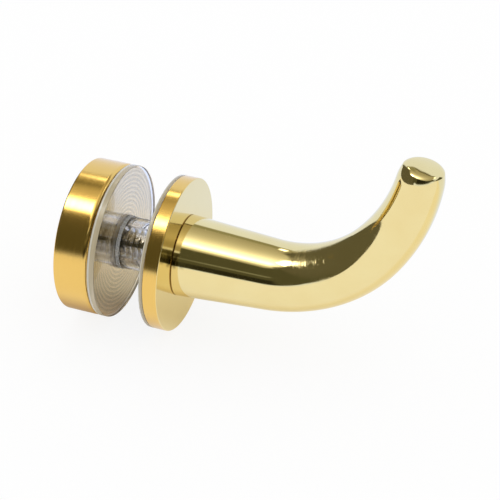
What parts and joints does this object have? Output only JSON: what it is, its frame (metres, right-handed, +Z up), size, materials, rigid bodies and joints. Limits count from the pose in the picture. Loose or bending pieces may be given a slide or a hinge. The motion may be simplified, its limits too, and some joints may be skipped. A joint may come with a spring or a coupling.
{
  "type": "robe hook",
  "caption": "Polished brass robe hook for a glass panel: a tapered rod bent up to a blunt tip on a round flange, clamped through the glass by a sleeved stud and a thick rear disc.",
  "frame": {"origin": "centre of the front gasket's glass side, on the stud's axis", "axes": "+X out of the glass along the stud towards the hook, +Z up, the way the tip points"},
  "size_m": [0.0728, 0.032, 0.0478],
  "materials": {
    "polished_brass": "mirror polished, turned face on the rear disc",
    "clear_vinyl": "clear, smooth",
    "zinc_steel": "rolled thread, bright zinc"
  },
  "bodies": {
    "root": {"hook": "polished_brass", "front_flange": "polished_brass", "front_gasket": "clear_vinyl", "sleeve": "clear_vinyl", "threaded_stud": "zinc_steel", "rear_gasket": "clear_vinyl", "rear_disc": "polished_brass"}
  },
  "joints": []
}
